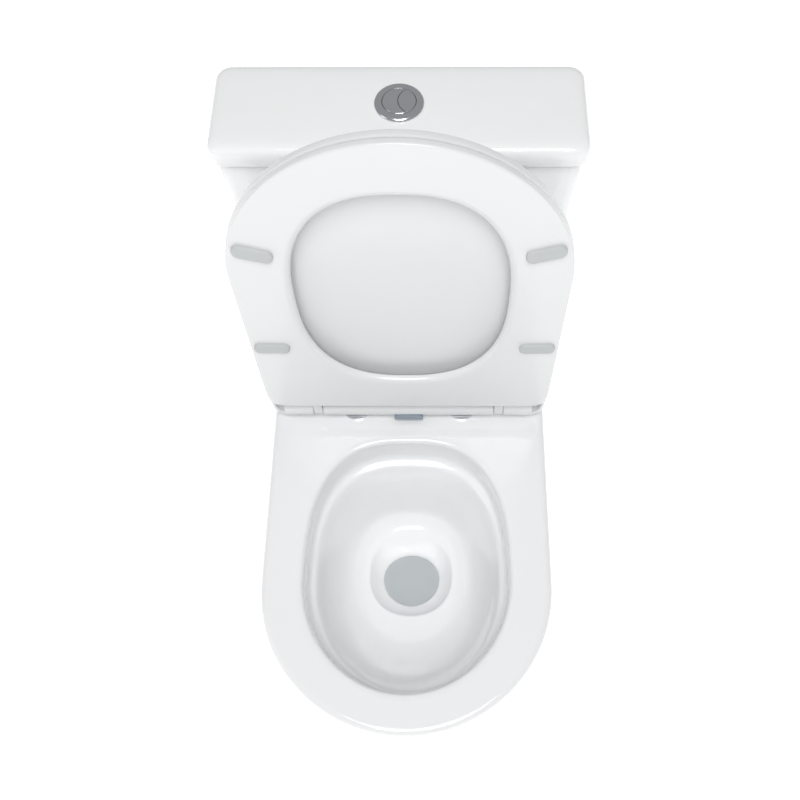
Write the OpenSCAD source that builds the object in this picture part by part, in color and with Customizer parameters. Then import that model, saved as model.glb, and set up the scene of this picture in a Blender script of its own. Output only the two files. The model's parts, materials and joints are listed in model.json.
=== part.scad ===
// Close coupled toilet: ceramic pan and tank, slow-closing seat and lid, dual flush.
// X is across, -Y is the front, +Y the wall, Z is up. The origin is the middle of the
// bounding box on the floor. Millimetres.

/* [Overall] */
// Depth from the front of the pan to the wall
total_d = 618; // [560:1:680]
// Width of the pan at its rim
pan_w = 360; // [340:1:400]
// Height of the rim above the floor
rim_h = 400; // [380:1:440]
// Height of the top of the tank above the floor
tank_top = 772; // [740:1:880]

/* [Pan] */
// Width of the foot of the pan
foot_w = 256; // [220:1:300]
// How far the foot stands back from the front of the rim
foot_setback = 150; // [90:1:180]
// Height of the straight foot before the skirt flares
plinth_h = 60; // [55:1:100]
// Thickness of the ceramic wall
pan_wall = 12; // [9:1:14]
// Thickness of the rim and of the deck under the tank
deck_t = 25; // [22:1:30]
// Width of the bowl's opening
bowl_w = 256; // [230:1:270]
// Gap between the front of the rim and the bowl's opening
rim_front = 48; // [42:1:60]
// Distance of the back of the bowl's opening from the hinge line
bowl_back = 43; // [40:1:60]
// Depth of the wash shelf below the rim
shelf_drop = 48; // [42:1:60]
// Height of the trap water above the floor
water_h = 200; // [185:1:215]
// Inner diameter of the trapway
trap_d = 72; // [60:1:74]
// Outer diameter of the outlet spigot
spigot_d = 102; // [95:1:108]
// Height of the middle of the outlet above the floor
outlet_h = 180; // [172:1:190]

/* [Tank] */
// Width of the tank lid
lid_w = 369.5; // [340:0.5:400]
// Depth of the tank lid
tank_lid_d = 114; // [112:1:150]
// Height of the edge of the tank lid
lid_edge = 21; // [20:1:34]
// How far the tank lid stands out past the tank
lid_overhang = 4.5; // [3:0.5:8]
// Thickness of the tank wall
tank_wall = 9; // [7:1:10]
// Narrowing of each side of the tank towards its base
tank_taper = 7; // [0:1:14]

/* [Flush button] */
// Diameter of the chrome ring
bezel_d = 49; // [44:1:56]
// Diameter of the two buttons together
button_d = 33; // [30:1:36]
// Distance of the button's middle from the wall
button_to_wall = 54.5; // [52:0.5:65]
// Travel of each button
button_travel = 5; // [3:0.5:6]

/* [Seat] */
// Distance of the seat's hinge line from the wall
hinge_to_wall = 206; // [190:1:230]
// Height of the hinge line above the rim
hinge_h = 22; // [20:1:26]
// Width of the seat lid
seat_lid_w = 354; // [340:1:400]
// Reach of the seat lid in front of the hinge line
seat_lid_reach = 418; // [390:1:440]
// Length of the front curve of the seat and lid
seat_curve = 166; // [150:1:190]
// Thickness of the seat
seat_t = 9.5; // [9:0.5:14]
// Width of the seat's opening
seat_hole_w = 228; // [200:1:240]
// Distance of the hole's back edge from the hinge line
seat_hole_back = 79; // [70:1:100]
// Width of the seat between the hole and its front edge
seat_front = 57.5; // [48:0.5:66]
// Angle through which the lid and seat open
open_angle = 97.3; // [92:0.1:100]
// Length of one grey seat pad
pad_l = 41; // [30:1:44]
// Thickness of one seat pad
pad_t = 5; // [4:0.5:7]

/* [Hinge] */
// Length of the hinge bar
bar_l = 222; // [200:1:240]
// Diameter of the hinge bar
bar_d = 24; // [23:1:30]
// Distance between the two hinge posts
post_gap = 140; // [130:1:160]
// Diameter of the disc under each post
disc_d = 42; // [34:1:46]
// Diameter of the hinge pins
pin_d = 10; // [8:0.5:11]
// Width of the release button
release_w = 37; // [24:1:44]

/* [Fixings] */
// Distance between the two bolts that couple tank and pan
coupling_gap = 144; // [138:1:146]
// Diameter of the coupling bolts and hinge posts' shanks
bolt_d = 8; // [6:0.5:9]
// Distance of the fill valve from the middle
fill_x = 104; // [102:1:104]

/* [Hidden] */
$fn = 64;
// Play of a turning fit, of a sliding fit, and of a loose fit, on the radius
turn_play = 0.05;
slide_play = 0.3;
loose_play = 1;
ring_n = 56;

// Places of the main features
y_wall = total_d / 2;
y_front = -total_d / 2;
y_hinge = y_wall - hinge_to_wall;
z_hinge = rim_h + hinge_h;
pan_back = y_wall - lid_overhang;
tank_base = rim_h + 2;
tank_rim = tank_top - lid_edge;
tank_front = y_wall - tank_lid_d + lid_overhang;
tank_back = y_wall - lid_overhang;
tank_mid = (tank_front + tank_back) / 2;
tank_hw = lid_w / 2 - lid_overhang;
tank_floor = tank_base + tank_wall;
y_button = y_wall - button_to_wall;
y_valve = tank_mid;

// Pan
foot_hw = foot_w / 2;
rim_hw = pan_w / 2;
rim_round = 8;
bowl_hw = bowl_w / 2;
bowl_front = y_front + rim_front;
bowl_rear = y_hinge - bowl_back;
bowl_mid = bowl_front + 139;
shelf_z = rim_h - shelf_drop;
trap_r = trap_d / 2;
bowl_curve = 1.6;
trap_wall = 10;
well_y = y_hinge - 177;
well_r = trap_r + 4;
bend_r = 50;
spigot_end = pan_back - 12;
spigot_l = 62;
back_hw = 100;
inlet_hole_r = 21;

// Flush way under the deck
way_hw = 36;
way_top = rim_h - deck_t - 3;
way_h = 20;

// Tank outlet
tail_r = 29;
recess_r = 45;
recess_depth = 14;

// Button
bezel_h = 3.2;
bezel_tube_r = 19;
button_r = button_d / 2;
lens_shift = 15.65;
full_x = -6.5;
half_x = 9.5;
stem_r = 3.4;
rod_r = 2.5;
button_top = tank_top + bezel_h + 0.6;
button_base = button_top - button_travel - 2;
spider_top = button_base - button_travel - 13;
spider_t = 3;
lid_skin = 9;

// Rockers on top of the flush valve
rod_foot = tank_top - 60.6;
rocker_arm = 16;
rocker_t = 6;
rocker_top = rod_foot - 0.4;
rocker_z = rocker_top - rocker_t / 2;
rocker_y = y_button + rocker_arm;
rocker_pin_r = 2;
core_r = 12;
seat_ring_top = tank_floor + 13;

// Fill valve
fill_head = tank_top - 72;
lever_z = fill_head + 24.5;
lever_pin_x = -fill_x - 16;
float_x = -fill_x + 26;
inlet_r = 10.48;
inlet_end = rim_h - 55;

// Seat
lug_w = 11.6;
side_play = 0.5;
lug_in = bar_l / 2 + side_play;
boss_in = lug_in + lug_w + side_play;
boss_out = boss_in + 37.5;
seat_web = 22;
seat_under = pad_t - hinge_h;
seat_hw = seat_lid_w / 2 - 0.5;
seat_reach = seat_lid_reach - 0.5;
seat_top = seat_under + seat_t;
lid_wall = 4;
lid_top_t = seat_top + 15.5;
lid_edge_t = seat_top + 0.7;
roof = lid_top_t - lid_wall - 0.5;
disc_y = y_hinge + 10;
disc_t = 4;
pin_r = pin_d / 2;
bar_r = bar_d / 2;
damper_r = 9;
lug_r = bar_r - 1;
release_spring_l = 13.3;

// Floor fixing
bracket_y = y_hinge + 10;
bracket_l = 50;
bracket_h = 56;
side_screw_z = 40;

// One closed outline: half an ellipse in front of yc, a squarer half behind it.
// hw is its half width, yf and yr its front and rear ends, n the squareness of the rear.
function outline(hw, yc, yf, yr, n, z) = [
    for (i = [0 : ring_n - 1])
        let (t = 360 * i / ring_n, c = cos(t), s = sin(t), p = s < 0 ? 1 : 2 / n)
        [hw * sign(c) * pow(abs(c), p),
         yc + (s < 0 ? (yc - yf) * s : (yr - yc) * pow(s, p)),
         z]
];

// Triangles between two rings of points, and across the whole skin
function band(a, b, m) = [
    for (i = [0 : m - 1]) let (j = (i + 1) % m)
        each [[a + i, a + j, b + j], [a + i, b + j, b + i]]
];
function all_points(rings) = [for (r = rings) each r];

// A solid skinned over rings of equal length, closed by a flat cap at each end
module skin(rings) {
    m = len(rings[0]);
    k = len(rings);
    polyhedron(
        points = all_points(rings),
        faces = concat(
            [[for (i = [m - 1 : -1 : 0]) i]],
            [for (r = [0 : k - 2]) each band((r + 1) * m, r * m, m)],
            [[for (i = [0 : m - 1]) (k - 1) * m + i]]
        )
    );
}

// A ring-shaped solid skinned over rings, the last joined to the first
module ring_skin(rings) {
    m = len(rings[0]);
    k = len(rings);
    polyhedron(
        points = all_points(rings),
        faces = [for (r = [0 : k - 1]) each band(((r + 1) % k) * m, r * m, m)]
    );
}

// A round tube's solid along points in the YZ plane
function path_dir(p, i) =
    let (a = p[max(i - 1, 0)], b = p[min(i + 1, len(p) - 1)]) (b - a) / norm(b - a);
module yz_sweep(p, r, sides = 20) {
    skin([
        for (i = [0 : len(p) - 1]) let (d = path_dir(p, i))
            [for (j = [0 : sides - 1]) let (t = -360 * j / sides)
                [r * cos(t), p[i][0] - d[1] * r * sin(t), p[i][1] + d[0] * r * sin(t)]]
    ]);
}
function yz_arc(c, r, a0, a1, steps) = [
    for (i = [0 : steps]) let (a = a0 + (a1 - a0) * i / steps)
        [c[0] + r * cos(a), c[1] + r * sin(a)]
];

// A coil spring standing on z0
module spring(x, y, z0, length, coil_r, wire_r, turns) {
    steps = 14;
    count = turns * steps;
    sides = 6;
    translate([x, y, z0])
        skin([
            for (i = [0 : count])
                let (t = 360 * i / steps,
                     z = wire_r + (length - 2 * wire_r) * i / count)
                [for (j = [0 : sides - 1]) let (a = 360 * j / sides)
                    [(coil_r + wire_r * cos(a)) * cos(t),
                     (coil_r + wire_r * cos(a)) * sin(t),
                     z + wire_r * sin(a)]]
        ]);
}

module tube(x, y, z, h, r_out, r_in) {
    translate([x, y, z])
        difference() {
            cylinder(h = h, r = r_out);
            translate([0, 0, -1])
                cylinder(h = h + 2, r = r_in);
        }
}

// A bar along X, centred on the hinge line or on any line
module x_rod(x, y, z, l, r) {
    translate([x, y, z])
        rotate([0, 90, 0])
            cylinder(h = l, r = r);
}

module both_sides() {
    children();
    mirror([1, 0, 0])
        children();
}

// ---- Pan ----

// How far the skirt has flared out at height z, from 0 at the plinth to 1 at the rim
function flare(z) = pow(min(max(z - plinth_h, 0) / (rim_h - 40 - plinth_h), 1), 1.9);
function skirt(z, inset) =
    let (hw = foot_hw + (rim_hw - foot_hw) * flare(z),
         yf = y_front + foot_setback * (1 - flare(z)))
    outline(hw - inset, yf + hw, yf + inset, pan_back - inset, 24, z);
// The bowl's inner surface: u runs from the wash shelf (0) to the water line (1)
function bowl(u, inset, z) =
    let (v = pow(u, bowl_curve),
         hw = (bowl_hw - 6) + (well_r - bowl_hw + 6) * v,
         yf = bowl_front + 4 + (well_y - well_r - bowl_front - 4) * v,
         yr = bowl_rear - 12 + (well_y + well_r - bowl_rear + 12) * v,
         yc = bowl_mid + (well_y - bowl_mid) * v)
    outline(hw + inset, yc, yf - inset, yr + inset, 2.7 - 0.7 * u, z);
function bowl_z(u) = shelf_z + (water_h - shelf_z) * pow(u, 0.94);
function opening(inset, z) =
    outline(bowl_hw + inset, bowl_mid, bowl_front - inset, bowl_rear + inset, 2.7, z);

skirt_heights = [for (k = [0 : 8]) plinth_h + (rim_h - 40 - plinth_h) * k / 8];
under_rim = rim_h - deck_t;

trap_c1 = [well_y + bend_r, water_h - 35];
trap_up = 50;
trap_down = 45;
crest_z = water_h + trap_r;
trap_p1 = trap_c1 + bend_r * [cos(270 + trap_up), sin(270 + trap_up)];
trap_c2_z = crest_z - bend_r;
trap_run = (trap_c2_z + bend_r * sin(90 + trap_up) - trap_p1[1]) / tan(trap_up);
trap_c2 = [trap_p1[0] + trap_run - bend_r * cos(90 + trap_up), trap_c2_z];
trap_p2 = trap_c2 + bend_r * [cos(90 - trap_down), sin(90 - trap_down)];
trap_fall = trap_p2[1] - (outlet_h + bend_r * (1 - cos(trap_down)));
trap_c3 = [trap_p2[0] + trap_fall / tan(trap_down) + bend_r * sin(trap_down),
           outlet_h + bend_r];
trap_line = concat(
    yz_arc(trap_c1, bend_r, 180, 270 + trap_up, 9),
    yz_arc(trap_c2, bend_r, 90 + trap_up, 90 - trap_down, 6),
    yz_arc(trap_c3, bend_r, 270 - trap_down, 270, 4),
    [[spigot_end - spigot_l + 4, outlet_h]]
);
module trapway(r, top) {
    yz_sweep(concat([[well_y, top]], trap_line), r);
}

module pan_shell() {
    skin(concat(
        // under the bowl, from the bottom of the well up to the deck
        [for (u = [1, 0.85, 0.6, 0.3, 0.05]) bowl(u, pan_wall, bowl_z(u) - 14)],
        [opening(pan_wall, under_rim)],
        // inside of the skirt, down to the floor
        [skirt(under_rim, pan_wall)],
        [for (k = [8 : -1 : 0]) skirt(skirt_heights[k] - 4, pan_wall)],
        [skirt(0, pan_wall)],
        // outside of the skirt, up to the rim
        [skirt(0, 0)],
        [for (k = [0 : 8]) skirt(skirt_heights[k], 0)],
        [skirt(rim_h - rim_round, 0)],
        [skirt(rim_h - rim_round * 0.3, rim_round * 0.3)],
        [skirt(rim_h, rim_round)],
        // over the rim and down the bowl
        [opening(6, rim_h)],
        [opening(1.5, rim_h - 2)],
        [opening(0, rim_h - 6)],
        [opening(0, shelf_z + 4)],
        [for (u = [0, 0.15, 0.3, 0.45, 0.6, 0.75, 0.9, 1]) bowl(u, 0, bowl_z(u))],
        [outline(trap_r, well_y, well_y - trap_r, well_y + trap_r, 2, water_h - 8)]
    ));
}

module pan() {
    color("white")
        difference() {
            union() {
                difference() {
                    pan_shell();
                    // open back, for the plumbing
                    translate([-back_hw, pan_back - pan_wall - 5, -1])
                        cube([2 * back_hw, pan_wall + 10, under_rim - 34]);
                }
                trapway(trap_r + trap_wall, water_h - 12);
                translate([0, spigot_end, outlet_h])
                    rotate([90, 0, 0])
                        cylinder(h = spigot_l, r = spigot_d / 2);
                // casing of the flush way under the deck
                translate([-way_hw - 9, bowl_rear + 2, way_top - way_h - 9])
                    cube([2 * way_hw + 18, y_valve + recess_r - bowl_rear, way_h + 18]);
            }
            trapway(trap_r, water_h - 7);
            translate([0, spigot_end + 1, outlet_h])
                rotate([90, 0, 0])
                    cylinder(h = spigot_l - 16, r = spigot_d / 2 - 9);
            // flush way, from the tank's outlet to the back of the bowl
            translate([-way_hw, bowl_rear - 20, way_top - way_h])
                cube([2 * way_hw, y_valve + way_hw - bowl_rear + 20, way_h]);
            translate([0, y_valve, way_top - 1])
                cylinder(h = deck_t + 6, r = tail_r + 3);
            translate([0, y_valve, rim_h - recess_depth])
                cylinder(h = recess_depth + 1, r = recess_r);
            both_sides() {
                translate([coupling_gap / 2, y_valve, under_rim - 1])
                    cylinder(h = deck_t + 2, r = bolt_d / 2 + 3);
                translate([post_gap / 2, disc_y, under_rim - 1])
                    cylinder(h = deck_t + 2, r = bolt_d / 2 + 3);
                x_rod(foot_hw - pan_wall - 4, bracket_y + bracket_l / 2, side_screw_z,
                      pan_wall + 8, 3.5);
            }
            translate([-fill_x, y_valve, under_rim - 1])
                cylinder(h = deck_t + 2, r = inlet_hole_r);
        }
}

// ---- Tank ----

// A plate with rounded corners that fills the box from [-hw, y0] to [hw, y1]
module plate(hw, y0, y1, r, z, h) {
    translate([0, 0, z])
        hull()
            for (x = [-hw + r, hw - r], y = [y0 + r, y1 - r])
                translate([x, y, 0])
                    cylinder(h = h, r = r, $fn = 32);
}
// A tank-shaped block: inset from the outside of the tank, from z0 to the rim
module tank_block(inset, z0, r, top) {
    hull() {
        plate(tank_hw - inset, tank_front + inset, tank_back - inset, r, top - 0.1, 0.1);
        plate(tank_hw - tank_taper - inset, tank_front + tank_taper + inset,
              tank_back - inset, r, z0, 0.1);
    }
}

module tank_body() {
    color("white")
        difference() {
            tank_block(0, tank_base, 14, tank_rim);
            tank_block(tank_wall, tank_floor, 8, tank_rim + 1);
            translate([0, y_valve, tank_base - 1])
                cylinder(h = tank_wall + 2, r = tail_r + loose_play);
            both_sides()
                translate([coupling_gap / 2, y_valve, tank_base - 1])
                    cylinder(h = tank_wall + 2, r = bolt_d / 2 + 2);
            translate([-fill_x, y_valve, tank_base - 1])
                cylinder(h = tank_wall + 2, r = inlet_r + loose_play);
        }
}

module tank_lid() {
    lid_hw = lid_w / 2;
    y0 = y_wall - tank_lid_d;
    rib = tank_wall + 1.5;
    color("white")
        difference() {
            union() {
                difference() {
                    hull() {
                        plate(lid_hw, y0, y_wall, 12, tank_rim, lid_edge - 5);
                        plate(lid_hw - 4, y0 + 4, y_wall - 4, 9, tank_top - 0.5, 0.5);
                    }
                    plate(lid_hw - 10, y0 + 10, y_wall - 10, 6, tank_rim - 1,
                          lid_edge - lid_skin + 1);
                }
                difference() {
                    plate(tank_hw - rib, tank_front + rib, tank_back - rib, 6,
                          tank_rim - 7, lid_edge - lid_skin + 8);
                    plate(tank_hw - rib - 5, tank_front + rib + 5, tank_back - rib - 5, 3,
                          tank_rim - 8, lid_edge - lid_skin + 8);
                }
            }
            translate([0, y_button, tank_rim - 10])
                cylinder(h = lid_edge + 20, r = bezel_tube_r + loose_play);
        }
}

// ---- Flush button ----

module button_bezel() {
    color("silver")
        translate([0, y_button, 0])
            difference() {
                union() {
                    translate([0, 0, tank_top])
                        cylinder(h = bezel_h - 1, r = bezel_d / 2);
                    translate([0, 0, tank_top + bezel_h - 1])
                        cylinder(h = 1, r1 = bezel_d / 2, r2 = bezel_d / 2 - 2);
                    translate([0, 0, spider_top - spider_t])
                        cylinder(h = tank_top - spider_top + spider_t + 1, r = bezel_tube_r);
                }
                translate([0, 0, spider_top])
                    cylinder(h = tank_top, r = button_r + slide_play);
                for (x = [full_x, half_x])
                    translate([x, 0, spider_top - spider_t - 1])
                        cylinder(h = spider_t + 2, r = stem_r + slide_play);
            }
}

module button_nut() {
    color("white")
        translate([0, y_button, tank_top - lid_skin - 8])
            difference() {
                cylinder(h = 8, r = bezel_tube_r + 8);
                translate([0, 0, -1])
                    cylinder(h = 10, r = bezel_tube_r + turn_play);
                for (a = [0 : 45 : 315])
                    rotate([0, 0, a])
                        translate([bezel_tube_r + 9, 0, -1])
                            cylinder(h = 10, r = 4);
            }
}

// The stem under a button, with the collar that keeps it in the bezel
module button_stem(x) {
    translate([x, 0, spider_top - spider_t - 3])
        difference() {
            union() {
                cylinder(h = button_base - spider_top + spider_t + 4, r = stem_r);
                cylinder(h = 2.7, r = stem_r + 1);
            }
            translate([0, 0, -1])
                cylinder(h = 17, r = rod_r + turn_play);
        }
}

module full_flush_button() {
    color("silver")
        translate([0, y_button, 0]) {
            difference() {
                translate([0, 0, button_base])
                    cylinder(h = button_top - button_base, r = button_r);
                translate([lens_shift, 0, button_base - 1])
                    cylinder(h = button_top, r = button_r + 0.6);
            }
            button_stem(full_x);
        }
}

module half_flush_button() {
    color("silver")
        translate([0, y_button, 0]) {
            intersection() {
                translate([0, 0, button_base])
                    cylinder(h = button_top - button_base, r = button_r);
                translate([lens_shift, 0, button_base - 1])
                    cylinder(h = button_top, r = button_r);
            }
            button_stem(half_x);
        }
}

module full_button_spring() {
    color("gainsboro")
        spring(full_x, y_button, spider_top + 0.1, button_base - spider_top - 0.2, 4.4, 0.45, 6);
}

module half_button_spring() {
    color("gainsboro")
        spring(half_x, y_button, spider_top + 0.1, button_base - spider_top - 0.2, 4.4, 0.45, 6);
}

module push_rod(x) {
    translate([x, y_button, rod_foot])
        cylinder(h = spider_top - spider_t - 3 - rod_foot + 15, r = rod_r);
}

module full_push_rod() {
    color("white")
        push_rod(full_x);
}

module half_push_rod() {
    color("white")
        push_rod(half_x);
}

// ---- Flush valve ----

cage_top = seat_ring_top + 46;
column_x = 22;

module flush_valve_body() {
    color("whitesmoke")
        difference() {
            union() {
                translate([0, y_valve, rim_h - 20])
                    cylinder(h = tank_floor - rim_h + 23, r = tail_r);
                translate([0, y_valve, tank_floor + 2])
                    cylinder(h = seat_ring_top - tank_floor - 2, r = tail_r + 7);
                for (a = [45 : 90 : 315])
                    translate([0, y_valve, seat_ring_top - 1])
                        rotate([0, 0, a])
                            translate([tail_r + 1, -4, 0])
                                cube([5, 8, cage_top - seat_ring_top + 2]);
                translate([0, y_valve, cage_top])
                    cylinder(h = 6, r = tail_r + 6);
                translate([0, y_valve, cage_top])
                    cylinder(h = 30, r = core_r + 4);
                both_sides()
                    translate([column_x - 2, rocker_y - 4.5, cage_top + 1])
                        cube([4, 9, rocker_z - cage_top + 6]);
            }
            translate([0, y_valve, rim_h - 21])
                cylinder(h = cage_top - rim_h + 21, r = tail_r - 5);
            translate([0, y_valve, cage_top - 1])
                cylinder(h = 40, r = core_r + slide_play);
            x_rod(-column_x - 4, rocker_y, rocker_z, 2 * column_x + 8,
                  rocker_pin_r + turn_play);
        }
}

// The core is the overflow tube, with the disc that holds the seal and a hook that the
// full flush rocker lifts
module valve_core() {
    hook_y = rocker_y + rocker_arm;
    core_top = tank_top - 82;
    color("steelblue") {
        difference() {
            union() {
                translate([0, y_valve, seat_ring_top + 2])
                    cylinder(h = core_top - seat_ring_top - 2, r = core_r);
                translate([0, y_valve, seat_ring_top + 2])
                    cylinder(h = 4, r = tail_r - 1);
                translate([full_x - 4, y_valve, core_top - 20])
                    cube([8, hook_y + 6.5 - y_valve, 6]);
            }
            translate([0, y_valve, seat_ring_top])
                cylinder(h = core_top - seat_ring_top + 2, r = core_r - 2.5);
        }
        translate([full_x - 4, hook_y + 3.5, core_top - 20])
            cube([8, 3, rocker_top - core_top + 27]);
        translate([full_x - 4, hook_y - 4, rocker_top + 0.4])
            cube([8, 10.5, 6.6]);
    }
}

module valve_seal() {
    color("dimgray")
        tube(0, y_valve, seat_ring_top + 0.2, 1.8, tail_r - 1.5, core_r - 1);
}

// A rocker: hub on the pin, one arm under the push rod, one arm under the hook
module rocker(x, w) {
    difference() {
        union() {
            x_rod(x, rocker_y, rocker_z, w, 5);
            translate([x + w / 2 - 4, rocker_y - rocker_arm - 2.5, rocker_z - rocker_t / 2])
                cube([8, 2 * rocker_arm + 4.5, rocker_t]);
        }
        x_rod(x - 1, rocker_y, rocker_z, w + 2, rocker_pin_r + turn_play);
    }
}

module full_flush_rocker() {
    color("orange")
        rocker(full_x - 5, 10);
}

module half_flush_rocker() {
    color("gold")
        rocker(half_x - 5, 10);
}

module rocker_pin() {
    color("silver")
        x_rod(-column_x - 2.5, rocker_y, rocker_z, 2 * column_x + 5, rocker_pin_r);
}

module flush_valve_washer() {
    color("dimgray")
        tube(0, y_valve, tank_floor, 2, tail_r + 6, tail_r + 0.2);
}

module flush_valve_nut() {
    color("whitesmoke")
        tube(0, y_valve, tank_base - 10, 10, tail_r + 9, tail_r + turn_play);
}

// ---- Coupling of tank and pan ----

module coupling_gasket() {
    color("dimgray")
        tube(0, y_valve, rim_h - recess_depth, tank_base - rim_h + recess_depth,
             recess_r - 0.4, tail_r + 9.5);
}

module coupling_bolts() {
    color("silver")
        both_sides()
            translate([coupling_gap / 2, y_valve, 0]) {
                translate([0, 0, under_rim - 24])
                    cylinder(h = tank_floor + 5 - under_rim + 24, r = bolt_d / 2);
                translate([0, 0, tank_floor + 4])
                    cylinder(h = 5, r = bolt_d / 2 + 4);
            }
}

module coupling_cone_washers() {
    color("dimgray")
        both_sides()
            translate([coupling_gap / 2, y_valve, tank_floor])
                difference() {
                    cylinder(h = 4, r = bolt_d / 2 + 8);
                    translate([0, 0, -1])
                        cylinder(h = 6, r = bolt_d / 2 + 0.2);
                }
}

module coupling_plates() {
    color("silver")
        both_sides()
            tube(coupling_gap / 2, y_valve, under_rim - 2, 2, bolt_d / 2 + 10,
                 bolt_d / 2 + 0.3);
}

module coupling_wing_nuts() {
    color("silver")
        both_sides()
            translate([coupling_gap / 2, y_valve, under_rim - 12])
                difference() {
                    union() {
                        cylinder(h = 10, r = bolt_d / 2 + 4);
                        translate([-17, -1.5, 0])
                            cube([34, 3, 10]);
                    }
                    translate([0, 0, -1])
                        cylinder(h = 12, r = bolt_d / 2 + turn_play);
                }
}

// ---- Fill valve ----

module fill_valve_body() {
    color("whitesmoke")
        translate([0, y_valve, 0])
            difference() {
                union() {
                    translate([-fill_x, 0, inlet_end])
                        cylinder(h = 40, r = inlet_r);
                    translate([-fill_x, 0, inlet_end + 40])
                        cylinder(h = tank_floor - inlet_end - 37, r = inlet_r - 0.3);
                    translate([-fill_x, 0, tank_floor + 2])
                        cylinder(h = 5, r = inlet_r + 8);
                    translate([-fill_x, 0, tank_floor + 6])
                        cylinder(h = fill_head - tank_floor - 5, r = 12);
                    translate([-fill_x, 0, fill_head])
                        cylinder(h = 16, r = 19);
                    for (y = [-9, 6])
                        translate([lever_pin_x - 5, y, fill_head + 1])
                            cube([10, 3, 29]);
                }
                translate([-fill_x, 0, inlet_end - 1])
                    cylinder(h = fill_head - inlet_end - 20, r = 6);
                translate([lever_pin_x, 10, lever_z])
                    rotate([90, 0, 0])
                        cylinder(h = 20, r = rocker_pin_r + turn_play);
            }
}

module fill_valve_washer() {
    color("dimgray")
        tube(-fill_x, y_valve, tank_floor, 2, inlet_r + 7, inlet_r + 0.2);
}

module fill_valve_nut() {
    color("whitesmoke")
        translate([-fill_x, y_valve, tank_base - 10])
            difference() {
                cylinder(h = 10, r = inlet_r + 7, $fn = 6);
                translate([0, 0, -1])
                    cylinder(h = 12, r = inlet_r - 0.3 + turn_play);
            }
}

// Upturned cup that rides on the fill valve's column, with the post that lifts the lever
module float_cup() {
    cup_z = fill_head - 110;
    color("cornflowerblue")
        translate([0, y_valve, 0])
            difference() {
                union() {
                    translate([-fill_x, 0, cup_z])
                        cylinder(h = 70, r = 32);
                    translate([float_x, 0, cup_z + 69])
                        cylinder(h = lever_z - 3 - cup_z - 69, r = 2);
                }
                translate([-fill_x, 0, cup_z - 1])
                    difference() {
                        cylinder(h = 68, r = 30);
                        cylinder(h = 70, r = 15);
                    }
                translate([-fill_x, 0, cup_z - 1])
                    cylinder(h = 80, r = 12 + slide_play + 0.2);
            }
}

module float_lever() {
    color("cornflowerblue")
        translate([lever_pin_x, y_valve, lever_z])
            difference() {
                union() {
                    rotate([90, 0, 0])
                        translate([0, 0, -5])
                            cylinder(h = 10, r = 4);
                    translate([0, -4, -2.5])
                        cube([float_x - lever_pin_x + 6, 8, 5]);
                }
                rotate([90, 0, 0])
                    translate([0, 0, -6])
                        cylinder(h = 12, r = rocker_pin_r + turn_play);
            }
}

module lever_pin() {
    color("silver")
        translate([lever_pin_x, y_valve + 9.5, lever_z])
            rotate([90, 0, 0])
                cylinder(h = 19, r = rocker_pin_r);
}

// ---- Seat and lid, drawn closed about the hinge line and turned up to their open rest ----

module raised() {
    translate([0, y_hinge, z_hinge])
        rotate([-open_angle, 0, 0])
            children();
}

function seat_outline(inset, z) =
    outline(seat_hw - inset, seat_curve - seat_reach, inset - seat_reach,
            -seat_web - inset, 24, z);
hole_front = seat_front - seat_reach;
hole_side = seat_hole_w / 2;
hole_mid = (hole_front - seat_hole_back) / 2;
function hole_outline(inset, z) = [
    for (i = [0 : ring_n - 1])
        let (t = 360 * i / ring_n, c = cos(t), s = sin(t),
             half = (-seat_hole_back - hole_front) / 2, p = 0.8)
        [(hole_side + inset) * sign(c) * pow(abs(c), p),
         hole_mid + (half + inset) * sign(s) * pow(abs(s), p),
         z]
];

module seat_ring() {
    top = seat_top;
    color("white")
        raised()
            difference() {
                union() {
                    ring_skin([
                        seat_outline(3, seat_under), seat_outline(0.8, seat_under + 1),
                        seat_outline(0, seat_under + 3), seat_outline(0, top - 2.5),
                        seat_outline(1, top - 0.8), seat_outline(3, top),
                        hole_outline(3, top), hole_outline(1, top - 0.8),
                        hole_outline(0, top - 2.5), hole_outline(0, seat_under + 3.5),
                        hole_outline(1.5, seat_under + 1.2), hole_outline(5, seat_under)
                    ]);
                    both_sides() {
                        x_rod(lug_in, 0, 0, lug_w, lug_r);
                        translate([lug_in, -seat_web - 10, -lug_r])
                            cube([lug_w, seat_web + 10, lug_r]);
                    }
                }
                both_sides()
                    x_rod(lug_in - 5, 0, 0, lug_w + 10, pin_r + turn_play);
            }
}

module seat_pad(x, s, turn, w) {
    translate([x, -s, seat_under - pad_t + 0.3])
        rotate([0, 0, turn]) {
            translate([-pad_l / 2 + w / 2, -w / 2, 0])
                cube([pad_l - w, w, pad_t - 0.3]);
            for (k = [-1, 1])
                translate([k * (pad_l - w) / 2, 0, 0])
                    cylinder(h = pad_t - 0.3, r = w / 2);
        }
}

module seat_pads() {
    pad_mid = (hole_side + seat_hw) / 2;
    color("silver")
        raised()
            both_sides() {
                seat_pad(pad_mid - 1, 292, -16, 15);
                seat_pad(pad_mid + 6, 144, 0, 14);
            }
}

function lid_outline(inset, z) =
    outline(seat_lid_w / 2 - inset, seat_curve - seat_lid_reach,
            inset - seat_lid_reach, 14 - inset, 24, z);

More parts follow.
